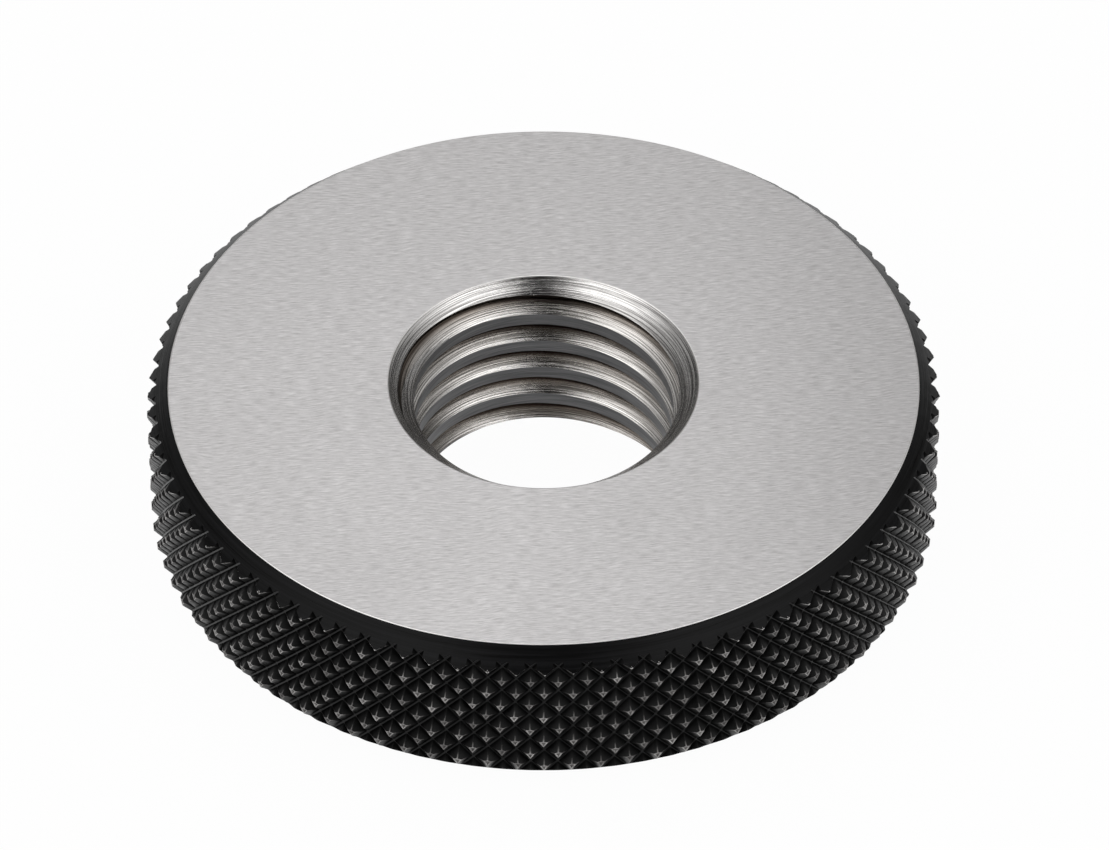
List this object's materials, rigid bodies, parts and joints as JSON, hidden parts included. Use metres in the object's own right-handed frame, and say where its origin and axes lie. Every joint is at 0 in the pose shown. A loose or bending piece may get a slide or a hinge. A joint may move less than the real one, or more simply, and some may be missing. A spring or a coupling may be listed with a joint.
{
  "type": "thread ring gauge",
  "caption": "Solid flat ring with a diamond-knurled rim, chamfered edges and a countersunk threaded bore, screwed over an external thread to check its size.",
  "frame": {"origin": "where the axis of the bore meets the lower face, which the ring rests on", "axes": "+Z along the axis of the bore, out of the face with the wide mouth"},
  "size_m": [0.0436, 0.0436, 0.0097],
  "materials": {
    "gauge_steel": "ground faces and thread, black oxide rim"
  },
  "bodies": {
    "root": {"gauge_ring": "gauge_steel"}
  },
  "joints": []
}
